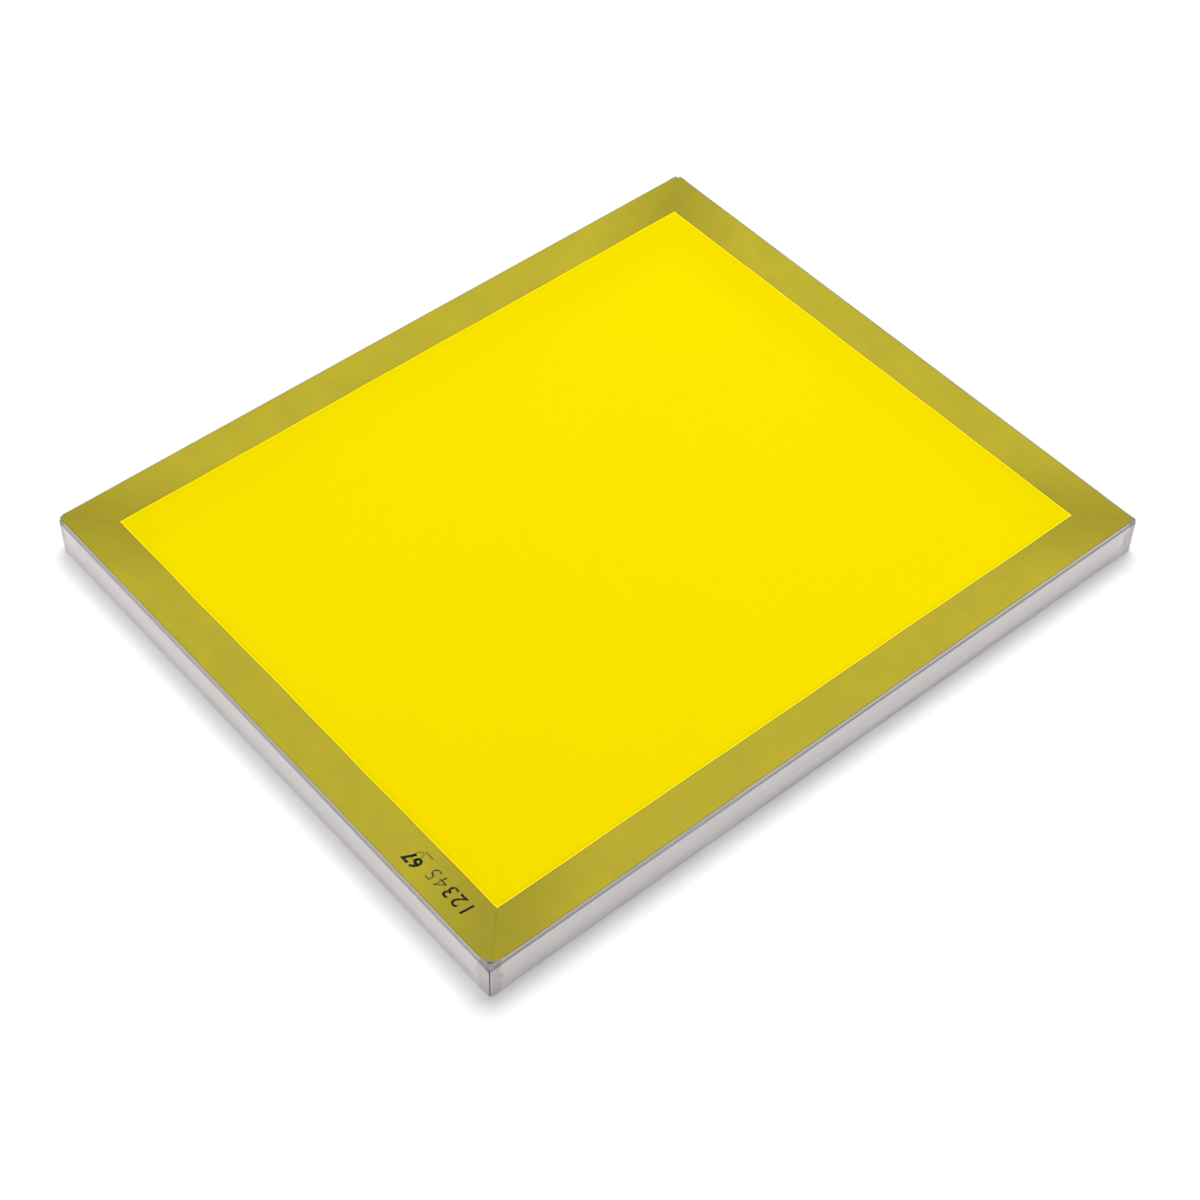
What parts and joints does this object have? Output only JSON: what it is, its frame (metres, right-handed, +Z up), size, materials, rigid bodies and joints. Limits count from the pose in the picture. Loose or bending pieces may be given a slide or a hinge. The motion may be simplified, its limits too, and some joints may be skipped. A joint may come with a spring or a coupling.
{
  "type": "screen printing frame",
  "caption": "Rectangular welded aluminium tube frame with yellow woven mesh stretched and glued across its top, for pushing ink through a stencil.",
  "frame": {"origin": "centre of the frame on the plane that it rests on", "axes": "+X along the longer side, +Y along the shorter side, +Z up out of the mesh, so that the open squeegee side faces down"},
  "size_m": [0.6096, 0.508, 0.032],
  "materials": {
    "rail_aluminium": "satin mill finish with fine handling marks",
    "weld_aluminium": "ground flush on the outside, as welded inside",
    "frame_adhesive": "thin cured film",
    "polyester_mesh": "fine plain weave, dyed yellow",
    "marking_ink": "dry black ink"
  },
  "bodies": {
    "root": {"front_rail": "rail_aluminium", "right_rail": "rail_aluminium", "back_rail": "rail_aluminium", "left_rail": "rail_aluminium", "front_left_top_weld": "weld_aluminium", "front_left_bottom_weld": "weld_aluminium", "front_left_outer_weld": "weld_aluminium", "front_left_inner_weld": "weld_aluminium", "front_right_top_weld": "weld_aluminium", "front_right_bottom_weld": "weld_aluminium", "front_right_outer_weld": "weld_aluminium", "front_right_inner_weld": "weld_aluminium", "back_right_top_weld": "weld_aluminium", "back_right_bottom_weld": "weld_aluminium", "back_right_outer_weld": "weld_aluminium", "back_right_inner_weld": "weld_aluminium", "back_left_top_weld": "weld_aluminium", "back_left_bottom_weld": "weld_aluminium", "back_left_outer_weld": "weld_aluminium", "back_left_inner_weld": "weld_aluminium", "front_adhesive": "frame_adhesive", "right_adhesive": "frame_adhesive", "back_adhesive": "frame_adhesive", "left_adhesive": "frame_adhesive", "mesh": "polyester_mesh"}
  },
  "joints": []
}
